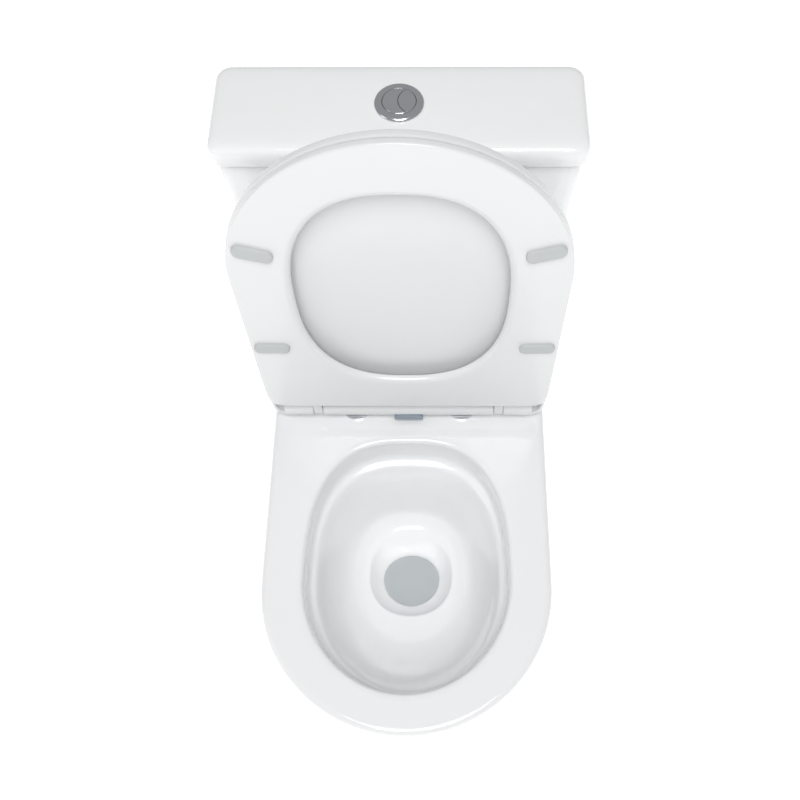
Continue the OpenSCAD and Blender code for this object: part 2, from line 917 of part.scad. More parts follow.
module seat_lid() {
    color("white")
        raised()
            difference() {
                union() {
                    difference() {
                        skin([
                            lid_outline(30, roof), lid_outline(lid_wall + 3, roof - 1.5),
                            lid_outline(lid_wall, roof - 5), lid_outline(lid_wall, lid_edge_t),
                            lid_outline(0.8, lid_edge_t), lid_outline(0, lid_edge_t + 1),
                            lid_outline(0, lid_top_t - 6.5), lid_outline(1.5, lid_top_t - 5),
                            lid_outline(8, lid_top_t - 2.5), lid_outline(20, lid_top_t - 0.5),
                            lid_outline(60, lid_top_t + 1)
                        ]);
                        translate([-boss_in - 20, -seat_web, -60])
                            cube([2 * boss_in + 40, 60, 120]);
                    }
                    both_sides() {
                        x_rod(boss_in, 0, 0, boss_out - boss_in, bar_r);
                        translate([boss_in, -seat_web - 12, seat_top + 0.6])
                            cube([boss_out - boss_in, seat_web + 12, roof - seat_top]);
                    }
                }
                both_sides()
                    x_rod(boss_in - 5, 0, 0, 27, pin_r + turn_play);
            }
}

module lid_pads() {
    color("gainsboro")
        raised()
            both_sides()
                for (p = [[hole_side + 24, 280], [hole_side + 27, 130]])
                    translate([p[0], -p[1], seat_top + 0.4])
                        cylinder(h = roof - seat_top - 0.8, r = 7);
}

// ---- Hinge ----

module hinge_bar() {
    bore_l = 57;
    color("white")
        difference() {
            union() {
                x_rod(-bar_l / 2, y_hinge, z_hinge, bar_l, bar_r);
                translate([-post_gap / 2 - 25, y_hinge - 6, rim_h + disc_t + 0.3])
                    cube([post_gap + 50, 32, 10]);
            }
            both_sides() {
                x_rod(bar_l / 2 - bore_l, y_hinge, z_hinge, bore_l + 1, damper_r + turn_play);
                translate([post_gap / 2, disc_y, rim_h + disc_t - 1])
                    cylinder(h = 9, r = 6 + slide_play);
            }
            translate([-release_w / 2 - 0.5, y_hinge - bar_r - 1, rim_h + 6.5])
                cube([release_w + 1, 15, 11]);
            translate([0, y_hinge - bar_r + 11, rim_h + 12])
                rotate([-90, 0, 0])
                    cylinder(h = release_spring_l - 2.3, r = 4);
        }
}

module hinge_dampers() {
    color("gainsboro")
        both_sides()
            difference() {
                x_rod(bar_l / 2 - 56.5, y_hinge, z_hinge, 56, damper_r);
                x_rod(bar_l / 2 - 20, y_hinge, z_hinge, 30, pin_r + turn_play);
            }
}

module hinge_pins() {
    color("silver")
        both_sides()
            x_rod(bar_l / 2 - 19, y_hinge, z_hinge, boss_in + 40 - bar_l / 2, pin_r);
}

module release_button() {
    color("lightsteelblue")
        translate([0, y_hinge - bar_r - 2, rim_h + 7])
            difference() {
                union() {
                    translate([-release_w / 2, 0, 0])
                        cube([release_w, 11, 6]);
                    translate([-release_w / 2 + 4, 0, 0])
                        cube([release_w - 8, 11, 10]);
                    for (k = [-1, 1])
                        translate([k * (release_w / 2 - 4), 0, 6])
                            rotate([-90, 0, 0])
                                cylinder(h = 11, r = 4);
                }
                translate([0, 8, 5])
                    rotate([-90, 0, 0])
                        cylinder(h = 4, r = 3.6);
            }
}

// Drawn at the length it has with the button pressed
module release_spring() {
    color("gainsboro")
        translate([0, y_hinge - bar_r + 8.4, rim_h + 12])
            rotate([-90, 0, 0])
                spring(0, 0, 0, release_spring_l, 3, 0.4, 7);
}

module post_discs() {
    color("silver")
        both_sides()
            tube(post_gap / 2, disc_y, rim_h, disc_t, disc_d / 2, bolt_d / 2 + 0.1);
}

module post_bolts() {
    color("silver")
        both_sides()
            translate([post_gap / 2, disc_y, 0]) {
                translate([0, 0, under_rim - 25])
                    cylinder(h = deck_t + disc_t + 26, r = bolt_d / 2);
                translate([0, 0, rim_h + disc_t])
                    cylinder(h = 7.5, r = 6);
            }
}

module post_bushes() {
    color("dimgray")
        both_sides()
            tube(post_gap / 2, disc_y, under_rim + 1, deck_t - 1, bolt_d / 2 + 2.8,
                 bolt_d / 2 + 0.1);
}

module post_nuts() {
    color("white")
        both_sides()
            translate([post_gap / 2, disc_y, under_rim - 12])
                difference() {
                    union() {
                        cylinder(h = 10, r = bolt_d / 2 + 5, $fn = 6);
                        translate([0, 0, 10])
                            cylinder(h = 2, r = bolt_d / 2 + 9);
                    }
                    translate([0, 0, -1])
                        cylinder(h = 14, r = bolt_d / 2 + turn_play);
                }
}

// ---- Floor fixing ----

bracket_x = foot_hw - pan_wall - 1;

module floor_brackets() {
    color("silver")
        both_sides()
            difference() {
                union() {
                    translate([bracket_x - 4, bracket_y, 0])
                        cube([4, bracket_l, bracket_h]);
                    translate([bracket_x - 44, bracket_y, 0])
                        cube([44, bracket_l, 4]);
                }
                x_rod(bracket_x - 10, bracket_y + bracket_l / 2, side_screw_z, 20, 2.6);
                translate([bracket_x - 26, bracket_y + bracket_l / 2, -1])
                    cylinder(h = 6, r = 3.5);
            }
}

module side_screws() {
    color("silver")
        both_sides()
            x_rod(bracket_x - 12, bracket_y + bracket_l / 2, side_screw_z,
                  foot_hw - bracket_x + 12, 2.5);
}

module screw_caps() {
    color("silver")
        both_sides()
            x_rod(foot_hw + 0.05, bracket_y + bracket_l / 2, side_screw_z, 3, 9);
}

pan();
tank_body();
tank_lid();
button_bezel();
button_nut();
full_flush_button();
half_flush_button();
full_button_spring();
half_button_spring();
full_push_rod();
half_push_rod();
flush_valve_body();
valve_core();
valve_seal();
full_flush_rocker();
half_flush_rocker();
rocker_pin();
flush_valve_washer();
flush_valve_nut();
coupling_gasket();
coupling_bolts();
coupling_cone_washers();
coupling_plates();
coupling_wing_nuts();
fill_valve_body();
fill_valve_washer();
fill_valve_nut();
float_cup();
float_lever();
lever_pin();
seat_ring();
seat_pads();
seat_lid();
lid_pads();
hinge_bar();
hinge_dampers();
hinge_pins();
release_button();
release_spring();
post_discs();
post_bolts();
post_bushes();
post_nuts();
floor_brackets();
side_screws();
screw_caps();
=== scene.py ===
import json
import math

import bmesh
import bpy
from mathutils import Matrix, Vector


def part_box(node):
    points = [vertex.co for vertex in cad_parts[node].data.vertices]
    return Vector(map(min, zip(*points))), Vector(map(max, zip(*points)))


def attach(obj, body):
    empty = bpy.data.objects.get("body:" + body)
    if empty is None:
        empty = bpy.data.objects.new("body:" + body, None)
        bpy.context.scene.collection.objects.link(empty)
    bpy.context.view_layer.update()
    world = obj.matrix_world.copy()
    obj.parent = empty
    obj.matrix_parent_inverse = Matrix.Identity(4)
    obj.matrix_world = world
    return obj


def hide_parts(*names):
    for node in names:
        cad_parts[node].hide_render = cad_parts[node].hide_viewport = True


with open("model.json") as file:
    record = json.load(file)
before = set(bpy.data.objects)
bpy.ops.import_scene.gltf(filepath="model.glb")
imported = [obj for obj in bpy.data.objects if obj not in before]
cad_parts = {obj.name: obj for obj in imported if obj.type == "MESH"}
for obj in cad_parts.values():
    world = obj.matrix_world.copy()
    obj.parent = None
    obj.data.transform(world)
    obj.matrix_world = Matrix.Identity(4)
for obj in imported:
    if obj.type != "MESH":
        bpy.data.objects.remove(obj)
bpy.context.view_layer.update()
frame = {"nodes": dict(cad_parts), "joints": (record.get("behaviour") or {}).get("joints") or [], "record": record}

# Lengths below are in millimetres and turn into metres when a mesh is made.
MM = 0.001
RING = 128
scene = bpy.context.scene
record = frame["record"]
slot_of = {part["node"]: part["material_slot"] for part in record["subparts"]}


def extent(*nodes):
    """Lowest and highest corner of CAD nodes, in millimetres."""
    corners = [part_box(node) for node in nodes]
    low = Vector([min(c[0][k] for c in corners) for k in range(3)])
    high = Vector([max(c[1][k] for c in corners) for k in range(3)])
    return low / MM, high / MM


def joint(name):
    return next(j for j in frame["joints"] if j["name"] == name)


# ---- Places taken from the frame ----

pan_low, pan_high = extent("pan")
tank_low, tank_high = extent("tank_body")
cover_low, cover_high = extent("tank_lid")
bezel_low, bezel_high = extent("button_bezel")
button_low, button_high = extent("full_flush_button", "half_flush_button")
bar_low, bar_high = extent("hinge_bar")
hinge = Vector(joint("lid_hinge")["pos_m"]) / MM
open_angle = math.radians(joint("lid_hinge")["range_deg"][1])
rim_z = pan_high.z
pan_half = pan_high.x
button_y = (bezel_low.y + bezel_high.y) / 2
valve_y = (tank_low.y + tank_high.y) / 2
fill_x = sum(corner.x for corner in extent("fill_valve_nut")) / 2
PLATE_HALF = 14
DISC_R = 21
bolt_x = extent("coupling_plates")[1].x - PLATE_HALF
post_x = extent("post_discs")[1].x - DISC_R
disc_y = sum(corner.y for corner in extent("post_discs")) / 2
outlet_z = 180


# ---- Shapes ----

def signed_power(value, power):
    return math.copysign(abs(value) ** power, value)


def egg(half, mid, front, rear, front_power, rear_power, z):
    """A closed outline: a rounded half in front of mid, a squarer half behind it."""
    ring = []
    for i in range(RING):
        turn = 2 * math.pi * i / RING
        c, s = math.cos(turn), math.sin(turn)
        power = 2 / (rear_power if s >= 0 else front_power)
        reach = rear - mid if s >= 0 else mid - front
        ring.append((half * signed_power(c, power), mid + reach * signed_power(s, power), z))
    return ring


def plate(half, front, rear, radius, z, steps=10):
    """A rectangle with round corners, from front to rear."""
    ring = []
    corners = ((half, rear, 0), (-half, rear, 1), (-half, front, 2), (half, front, 3))
    for x, y, quarter in corners:
        centre_x = x - math.copysign(radius, x)
        centre_y = y - radius if y == rear else y + radius
        for i in range(steps + 1):
            turn = math.pi / 2 * (quarter + i / steps)
            ring.append((centre_x + radius * math.cos(turn),
                         centre_y + radius * math.sin(turn), z))
    return ring


def skin(rings, closed=False):
    """A surface over rings of equal length; its ends are capped, or joined if closed."""
    size, count = len(rings[0]), len(rings)
    points = [point for ring in rings for point in ring]
    faces = []
    for r in range(count if closed else count - 1):
        low, high = r * size, (r + 1) % count * size
        for i in range(size):
            j = (i + 1) % size
            faces.append((low + i, low + j, high + j, high + i))
    if not closed:
        faces.append(tuple(reversed(range(size))))
        faces.append(tuple(range((count - 1) * size, count * size)))
    return points, faces


def cut_corners(rows, passes, closed=False):
    """Rounds a run of rows of numbers by cutting its corners again and again."""
    for _ in range(passes):
        pairs = list(zip(rows, rows[1:] + rows[:1])) if closed else list(zip(rows, rows[1:]))
        finer = [] if closed else [rows[0]]
        for a, b in pairs:
            finer.append([0.75 * p + 0.25 * q for p, q in zip(a, b)])
            finer.append([0.25 * p + 0.75 * q for p, q in zip(a, b)])
        rows = finer if closed else finer + [rows[-1]]
    return rows


def arc(centre, radius, start, end, steps):
    """Points on an arc; the angles are in degrees."""
    points = []
    for i in range(steps + 1):
        turn = math.radians(start + (end - start) * i / steps)
        points.append((centre[0] + radius * math.cos(turn),
                       centre[1] + radius * math.sin(turn)))
    return points


def shrunk(outline, amount):
    """A counter-clockwise outline moved inwards by amount."""
    moved = []
    for before, here, after in zip(outline[-1:] + outline[:-1], outline,
                                   outline[1:] + outline[:1]):
        a = Vector(here) - Vector(before)
        b = Vector(after) - Vector(here)
        in_a = Vector((-a.y, a.x)).normalized()
        in_b = Vector((-b.y, b.x)).normalized()
        middle = in_a + in_b
        if middle.length < 0.01:
            middle = in_a
        middle.normalize()
        moved.append(tuple(Vector(here) + middle * amount / max(middle.dot(in_a), 0.5)))
    return moved


def prism(outline, start, end, edge, place):
    """An outline swept from start to end, with its end edges rounded; place maps to space."""
    steps = 4
    rows = []
    for i in range(steps + 1):
        turn = math.pi / 2 * i / steps
        rows.append((edge * (1 - math.sin(turn)), start + edge * (1 - math.cos(turn))))
    rows += [(inset, start + end - along) for inset, along in reversed(rows)]
    return skin([[place(u, v, along) for u, v in shrunk(outline, inset)]
                 for inset, along in rows])


def along_x(u, v, w):
    return (w, u, v)


def along_y(u, v, w):
    return (u, w, v)


def along_z(u, v, w):
    return (u, v, w)


def lathe(profile, x, y, closed=False):
    """A profile of (radius, height) turned about an upright axis."""
    rings = []
    for radius, z in profile:
        rings.append([(x + radius * math.cos(2 * math.pi * i / 96),
                       y + radius * math.sin(2 * math.pi * i / 96), z) for i in range(96)])
    return skin(rings, closed)


def tube(path, radius, sides=48):
    """A round bar along points of the YZ plane."""
    rings = []
    for i, (y, z) in enumerate(path):
        before, after = path[max(i - 1, 0)], path[min(i + 1, len(path) - 1)]
        along = Vector((after[0] - before[0], after[1] - before[1])).normalized()
        ring = []
        for k in range(sides):
            turn = 2 * math.pi * k / sides
            ring.append((radius * math.cos(turn), y - along.y * radius * math.sin(turn),
                         z + along.x * radius * math.sin(turn)))
        rings.append(ring)
    return skin(rings)


def block(low, high, edge):
    """A box whose four upright edges and two flat faces' edges are rounded."""
    outline = [(p[0], p[1]) for p in plate((high[0] - low[0]) / 2, low[1], high[1],
                                           edge * 1.5, 0, 5)]
    middle = (high[0] + low[0]) / 2
    return prism([(x + middle, y) for x, y in outline], low[2], high[2], edge, along_z)


def mirrored(shape):
    points, faces = shape
    return [(-x, y, z) for x, y, z in points], [tuple(reversed(face)) for face in faces]


def lifted(shape):
    """Turns a shape drawn shut about the hinge line up to the open rest."""
    turn = Matrix.Rotation(-open_angle, 3, "X")
    points, faces = shape
    return [tuple(turn @ Vector(point) + hinge) for point in points], faces


# ---- Making pieces ----

def solid(name, shape):
    """A mesh object from a shape, in metres, with its faces turned outwards."""
    points, faces = shape
    mesh = bpy.data.meshes.new(name)
    mesh.from_pydata([Vector(point) * MM for point in points], [], faces)
    made = bpy.data.objects.new(name, mesh)
    scene.collection.objects.link(made)
    work = bmesh.new()
    work.from_mesh(mesh)
    bmesh.ops.remove_doubles(work, verts=work.verts, dist=1e-6)
    bmesh.ops.recalc_face_normals(work, faces=work.faces)
    work.to_mesh(mesh)
    work.free()
    return made


def settle(made):
    """Turns an object's modifiers into its mesh."""
    graph = bpy.context.evaluated_depsgraph_get()
    finished = bpy.data.meshes.new_from_object(made.evaluated_get(graph))
    made.modifiers.clear()
    made.data = finished


def join(made, shape, operation="UNION"):
    """Adds a shape to an object, or cuts it away."""
    tool = solid("tool", shape)
    change = made.modifiers.new("join", "BOOLEAN")
    change.operation = operation
    change.solver = "MANIFOLD"
    change.object = tool
    settle(made)
    bpy.data.objects.remove(tool)


def cut(made, shape):
    join(made, shape, "DIFFERENCE")


def soften(made, width, angle=40):
    """Rounds an object's sharp edges."""
    change = made.modifiers.new("soften", "BEVEL")
    change.width = width * MM
    change.segments = 2
    change.limit_method = "ANGLE"
    change.angle_limit = math.radians(angle)
    change.use_clamp_overlap = True
    settle(made)


def finish_piece(made, body, slot, stands_for=(), sharp=35):
    """Shades a piece, gives it its finish and ties it to its body."""
    for polygon in made.data.polygons:
        polygon.use_smooth = True
    made.data.set_sharp_from_angle(angle=math.radians(sharp))
    made.data.materials.clear()
    made.data.materials.append(finishes[slot])
    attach(made, body)
    if stands_for:
        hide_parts(*stands_for)
    return made


# ---- Shader maths ----

class Signal:
    """A number that varies over a surface; arithmetic on it adds Math nodes."""

    def __init__(self, finish, socket):
        self.finish = finish
        self.socket = socket

    def math(self, operation, *values):
        return self.finish.node("ShaderNodeMath", {"operation": operation}, values)

    def __add__(self, other):
        return self.math("ADD", self, other)

    def __mul__(self, other):
        return self.math("MULTIPLY", self, other)

    __radd__ = __add__
    __rmul__ = __mul__


class Finish:
    """A procedural material for one of the toilet's own surfaces."""

    def __init__(self, name, **constants):
        self.material = bpy.data.materials.new(name)
        self.material.use_nodes = True
        self.nodes = self.material.node_tree.nodes
        self.links = self.material.node_tree.links
        self.nodes.clear()
        output = self.nodes.new("ShaderNodeOutputMaterial")
        self.shader = self.nodes.new("ShaderNodeBsdfPrincipled")
        self.links.new(self.shader.outputs[0], output.inputs["Surface"])
        for socket, value in constants.items():
            self.shader.inputs[socket.replace("_", " ")].default_value = value
        coordinates = self.nodes.new("ShaderNodeTexCoord")
        self.place = Signal(self, coordinates.outputs["Object"])

    def node(self, kind, settings, values, output=0):
        made = self.nodes.new(kind)
        for name, value in settings.items():
            setattr(made, name, value)
        named = values.items() if isinstance(values, dict) else enumerate(values)
        for socket, value in named:
            if isinstance(value, Signal):
                self.links.new(value.socket, made.inputs[socket])
            else:
                made.inputs[socket].default_value = value
        return Signal(self, made.outputs[output])

    def noise(self, scale, detail, stretch=None):
        """Soft noise, with scale in cycles per metre."""
        where = self.place
        if stretch:
            where = self.node("ShaderNodeVectorMath", {"operation": "MULTIPLY"},
                              [where, stretch])
        return self.node("ShaderNodeTexNoise", {},
                         {"Vector": where, "Scale": scale, "Detail": detail})

    def blend(self, amount, first, second):
        """A colour between two others."""
        mix = self.nodes.new("ShaderNodeMix")
        mix.data_type = "RGBA"
        self.links.new(amount.socket, mix.inputs[0])
        mix.inputs[6].default_value = (*first, 1)
        mix.inputs[7].default_value = (*second, 1)
        return Signal(self, mix.outputs[2])

    def bump(self, height, distance):
        return self.node("ShaderNodeBump", {}, {"Height": height, "Distance": distance})

    def set(self, **varying):
        for socket, value in varying.items():
            self.links.new(value.socket, self.shader.inputs[socket.replace("_", " ")])
        return self.material


def glazed_ceramic():
    """White glaze: a hard gloss over a body that's very slightly uneven."""
    finish = Finish("glazed_ceramic", IOR=1.5, Coat_Weight=0.35, Coat_Roughness=0.03)
    clouds = finish.noise(7, 3)
    pooling = finish.noise(22, 2)
    peel = finish.noise(420, 1)
    return finish.set(
        Base_Color=finish.blend(clouds, (0.9, 0.906, 0.915), (0.92, 0.925, 0.932)),
        Roughness=0.07 + 0.07 * pooling,
        Normal=finish.bump(pooling + 0.012 * peel, 0.0009),
    )


def seat_plastic():
    """White urea moulding, polished, with a faint ripple."""
    finish = Finish("seat_plastic", IOR=1.5, Specular_IOR_Level=0.5)
    clouds = finish.noise(9, 2)
    ripple = finish.noise(38, 1)
    grain = finish.noise(900, 1)
    return finish.set(
        Base_Color=finish.blend(clouds, (0.79, 0.796, 0.803), (0.81, 0.816, 0.822)),
        Roughness=0.15 + 0.06 * ripple + 0.02 * grain,
        Normal=finish.bump(ripple + 0.01 * grain, 0.0004),
    )


def moulded_plastic(name, dark, light, roughness, grain_depth=0.00006):
    """A satin moulding with a fine grain."""
    finish = Finish(name, IOR=1.47)
    clouds = finish.noise(30, 2)
    grain = finish.noise(1500, 2)
    return finish.set(
        Base_Color=finish.blend(clouds, dark, light),
        Roughness=roughness - 0.04 + 0.09 * grain,
        Normal=finish.bump(grain, grain_depth),
    )


def metal(name, dark, light, roughness, stretch):
    """Bright metal with fine lines left by its polishing."""
    finish = Finish(name, Metallic=1.0)
    clouds = finish.noise(60, 2)
    brushed = finish.noise(900, 2, stretch)
    return finish.set(
        Base_Color=finish.blend(clouds, dark, light),
        Roughness=roughness - 0.03 + 0.07 * brushed,
        Normal=finish.bump(brushed, 0.00001),
    )


def rubber():
    """Matt black rubber with a dusty bloom."""
    finish = Finish("black_rubber", IOR=1.45)
    bloom = finish.noise(45, 4)
    grain = finish.noise(1800, 2)
    return finish.set(
        Base_Color=finish.blend(bloom, (0.018, 0.018, 0.019), (0.045, 0.045, 0.046)),
        Roughness=0.62 + 0.16 * grain,
        Normal=finish.bump(grain, 0.00012),
    )


def still_water():
    """Water over the glaze as a half-clear pale grey layer; its grey is painted shade for the dimmer look of the
    water in the well.
    """
    finish = Finish("still_water", IOR=1.33, Alpha=0.5)
    ripple = finish.noise(18, 1)
    shade_and_gloss_mottle = finish.noise(12, 1)
    return finish.set(
        # Base colour: two pale greys, painted shade that makes the water read darker than the bowl.
        Base_Color=finish.blend(shade_and_gloss_mottle, (0.68, 0.72, 0.74), (0.72, 0.755, 0.775)),
        Roughness=0.015 + 0.01 * shade_and_gloss_mottle,
        Normal=finish.bump(ripple, 0.0003),
    )


finishes = {
    "glazed_ceramic": glazed_ceramic(),
    "seat_plastic": seat_plastic(),
    "white_plastic": moulded_plastic("white_plastic", (0.72, 0.73, 0.73),
                                     (0.78, 0.79, 0.79), 0.38),
    "blue_plastic": moulded_plastic("blue_plastic", (0.085, 0.2, 0.36),
                                    (0.11, 0.24, 0.4), 0.36),
    "grey_pads": moulded_plastic("grey_pads", (0.5, 0.52, 0.525),
                                 (0.56, 0.58, 0.585), 0.5, 0.00012),
    "release_grey": moulded_plastic("release_grey", (0.24, 0.29, 0.35),
                                    (0.28, 0.33, 0.39), 0.28),
    "chrome": metal("chrome", (0.72, 0.725, 0.76), (0.77, 0.775, 0.81), 0.16, (1, 1, 1)),
    "steel": metal("steel", (0.5, 0.5, 0.505), (0.6, 0.6, 0.6), 0.3, (1, 1, 0.05)),
    "black_rubber": rubber(),
}


# ---- Pan ----

PLINTH = 60
WALL = 12
ROUND = 8
FOOT_HALF = 128
FOOT_BACK = 150
DECK = 25
WATER_Z = 200
WELL_Y = -177
TRAP_OUTER_R, TRAP_BORE_R = 46, 36
SPIGOT_OUTER_R, SPIGOT_BORE_R = 51, 42
deck_under = rim_z - DECK
flare_top = rim_z - 40
spigot_end = pan_high.y - 12


def skirt(z, inset):
    """Outline of the skirt, which flares from the foot up to the rim."""
    share = min(max(z - PLINTH, 0) / (flare_top - PLINTH), 1) ** 1.9
    half = FOOT_HALF + (pan_half - FOOT_HALF) * share
    front = pan_low.y + FOOT_BACK * (1 - share)
    return egg(half - inset, front + half, front + inset, pan_high.y - inset, 2, 24, z)


# Half width, middle, front and rear from the hinge line, powers, height
BOWL = [
    [136, -225, -372, -35, 2.0, 2.7, 400], [131, -225, -367, -40, 2.0, 2.7, 399.2],
    [128.4, -225, -364.4, -42.6, 2.0, 2.7, 396], [128, -225, -364, -43, 2.0, 2.7, 390],
    [128, -225, -364, -43, 2.0, 2.7, 366], [127.4, -224, -363.4, -44, 2.0, 2.68, 357],
    [125, -222, -361, -49, 2.0, 2.65, 352.5], [121, -220, -358.5, -56, 2.0, 2.6, 350.5],
    [118, -218, -356, -60, 2.0, 2.6, 346], [110, -212, -339, -73, 2.0, 2.6, 310],
    [98, -203, -312, -82, 2.0, 2.5, 275], [84, -192, -283, -87, 2.0, 2.4, 248],
    [74, -186, -265, -94, 2.05, 2.3, 239], [67, -183, -252, -99, 2.1, 2.3, 234],
    [61.5, -181, -243, -104, 2.2, 2.3, 231], [59.2, -180, -239, -109, 2.2, 2.3, 229],
    [58, -180, -237, -114, 2.2, 2.2, 226], [55, -179, -234, -121, 2.2, 2.2, 220],
    [50.5, -179, -229, -130, 2.15, 2.1, 212], [45.5, -178, -223, -138, 2.1, 2.0, 205],
    [41, -177, -218, -142, 2.0, 2.0, 200], [38, -177, -215, -141, 2.0, 2.0, 192],
    [36.3, -177, -213.3, -140.7, 2.0, 2.0, 180],
]


def bowl_ring(row, inset=0):
    half, mid, front, rear, front_power, rear_power, z = row
    return egg(half + inset, hinge.y + mid, hinge.y + front - inset, hinge.y + rear + inset,
               front_power, rear_power, z - inset)


def trap_path(z_top):
    """Middle of the trapway: down the well, up over the weir and back to the outlet."""
    bend, up, down = 50, 50, 45
    well_y = hinge.y + WELL_Y
    first = (well_y + bend, 165)
    weir_z = WATER_Z + TRAP_BORE_R - bend
    leave = arc(first, bend, 270, 270 + up, 1)[-1]
    turn_in = math.radians(90 + up)
    run = (weir_z + bend * math.sin(turn_in) - leave[1]) / math.tan(math.radians(up))
    weir = (leave[0] + run - bend * math.cos(turn_in), weir_z)
    over = arc(weir, bend, 90, 90 - down, 1)[-1]
    fall = over[1] - (outlet_z + bend * (1 - math.cos(math.radians(down))))
    last_y = over[0] + fall / math.tan(math.radians(down)) + bend * math.sin(math.radians(down))
    path = [(well_y, z_top)]
    path += arc(first, bend, 180, 270 + up, 16)
    path += arc(weir, bend, 90 + up, 90 - down, 14)
    path += arc((last_y, outlet_z + bend), bend, 270 - down, 270, 8)
    return path


def make_pan():
    under = cut_corners([row for row in BOWL if row[6] <= 325][::-1], 1)
    rings = [bowl_ring(row, WALL) for row in under]
    rings.append(egg(140, hinge.y - 225, hinge.y - 376, hinge.y - 31, 2, 2.7, deck_under))
    rings.append(skirt(deck_under, WALL))
    heights = [PLINTH + (flare_top - PLINTH) * k / 16 for k in range(17)]
    rings += [skirt(z, WALL) for z in reversed(heights)]
    rings += [skirt(1.5, WALL), skirt(0, WALL - 1.5), skirt(0, 3), skirt(0.8, 0.9), skirt(3, 0)]
    rings += [skirt(z, 0) for z in [PLINTH - 8] + heights]
    rings.append(skirt(rim_z - 20, 0))
    for k in range(7):
        turn = math.pi / 2 * k / 6
        rings.append(skirt(rim_z - ROUND * (1 - math.sin(turn)), ROUND * (1 - math.cos(turn))))
    rings.append(skirt(rim_z, ROUND + 1.5))
    rings.append(bowl_ring([138, -225, -374, -33, 2.0, 2.7, 400]))
    rings += [bowl_ring(row) for row in cut_corners(BOWL, 2)]
    pan = solid("pan_ceramic", skin(rings))

    # The trapway and the outlet spigot behind the bowl
    trap_end = (hinge.y + 127.5, outlet_z)
    join(pan, tube(trap_path(178) + [trap_end], TRAP_OUTER_R))
    circle = arc((0, outlet_z), SPIGOT_OUTER_R, 0, 356.25, 95)
    join(pan, prism(circle, pan_high.y - 74, spigot_end, 1.5, along_y))
    cut(pan, tube(trap_path(186) + [trap_end], TRAP_BORE_R))
    bore = arc((0, outlet_z), SPIGOT_BORE_R, 0, 356.25, 95)
    cut(pan, prism(bore, pan_high.y - 58, pan_high.y, 0.3, along_y))

    # The open back, and the holes in the deck
    cut(pan, block((-100, pan_high.y - WALL - 5, -20), (100, pan_high.y + 20, deck_under - 34), 6))
    holes = [(0, valve_y, 32), (fill_x, valve_y, 21)]
    holes += [(side * x, y, 7) for side in (-1, 1) for x, y in ((bolt_x, valve_y), (post_x, disc_y))]
    for x, y, radius in holes:
        cut(pan, lathe([(radius, deck_under - 30), (radius, rim_z + 5)], x, y))
    cut(pan, lathe([(45, rim_z - 14), (45, rim_z + 5)], 0, valve_y))
    return finish_piece(pan, "pan_and_tank", "glazed_ceramic", ["pan"])


def make_water():
    """Water standing in the well, up to the weir."""
    rows = [[41.2, -177, -218.2, -141.8, 2.0, 2.0, 200], [39.6, -177, -216.8, -141.4, 2.0, 2.0, 196],
            [38.2, -177, -215.2, -140.8, 2.0, 2.0, 192], [37.2, -177, -214.2, -139.8, 2.0, 2.0, 186]]
    water = solid("trap_water", skin([bowl_ring(row) for row in rows]))
    finish_piece(water, "pan_and_tank", "glazed_ceramic")
    water.data.materials.clear()
    water.data.materials.append(still_water())
    return water


# ---- Tank ----

def make_tank():
    """Open ceramic box, a little narrower at its base."""
    taper = 7
    wall = 9

    def ring(z, inset, radius):
        share = (tank_high.z - z) / (tank_high.z - tank_low.z)
        return plate(tank_high.x - taper * share - inset,
                     tank_low.y + taper * share + inset, tank_high.y - inset, radius, z)

    outside = [(0, 7), (0.6, 4.2), (2.1, 2.1), (4.2, 0.6), (7, 0)]
    rings = [ring(tank_low.z, 12, 8)]
    rings += [ring(tank_low.z + up, inset, 14) for up, inset in outside]
    rings += [ring(z, 0, 14) for z in (430, 520, 620, 700, tank_high.z - 3)]
    rings += [ring(tank_high.z - 0.6, 0.6, 14), ring(tank_high.z, 2.2, 13)]
    rings += [ring(tank_high.z, 7, 10), ring(tank_high.z - 2, wall, 8)]
    floor_z = tank_low.z + wall
    rings += [ring(z, wall, 8) for z in (700, 520, floor_z + 8)]
    rings += [ring(floor_z + 2.3, 11.3, 8), ring(floor_z, 17, 6)]
    tank = solid("tank_ceramic", skin(rings))
    for x, radius in ((0, 30), (fill_x, 11.48), (bolt_x, 6), (-bolt_x, 6)):
        cut(tank, lathe([(radius, tank_low.z - 5), (radius, tank_low.z + 20)], x, valve_y))
    return finish_piece(tank, "pan_and_tank", "glazed_ceramic", ["tank_body"])


def make_cover():
    """Tank lid: softly rounded on top, hollow below, with a rib that locates it."""
    half, front, rear = cover_high.x, cover_low.y, cover_high.y
    top, base, ceiling = cover_high.z, tank_high.z, cover_high.z - 9

    def ring(inset, z, radius):
        return plate(half - inset, front + inset, rear - inset, radius, z, 12)

    rib = 15
    rows = [(rib + 5.2, ceiling, 4), (rib + 5, cover_low.z + 0.5, 4), (rib + 4.4, cover_low.z, 4)]
    rows += [(rib + 0.6, cover_low.z, 7), (rib, cover_low.z + 0.6, 7), (rib, ceiling, 7)]
    rows += [(13, ceiling, 8), (10.4, ceiling - 2.6, 8), (10, base + 1, 9), (9, base, 9)]
    rows += [(1.6, base, 15), (0.4, base + 0.5, 15), (0, base + 1.8, 15)]
    rows += [(0, top - 12, 15), (0.3, top - 8.4, 15), (1.1, top - 5.4, 15), (2.7, top - 3, 14.5)]
    rows += [(5.2, top - 1.4, 14), (9, top - 0.6, 13), (14, top - 0.25, 12)]
    rows += [(22, top - 0.05, 10), (30, top, 8), (34, top, 8)]
    cover = solid("tank_lid_ceramic", skin([ring(inset, z, radius) for inset, z, radius in rows]))
    cut(cover, lathe([(20, base - 10), (20, top + 5)], 0, button_y))
    return finish_piece(cover, "tank_lid_unit", "glazed_ceramic", ["tank_lid"])


# ---- Flush button ----

BUTTON_R = 16.5
LENS_SHIFT = 15.65
FULL_STEM_X = -6.5
HALF_STEM_X = 9.5


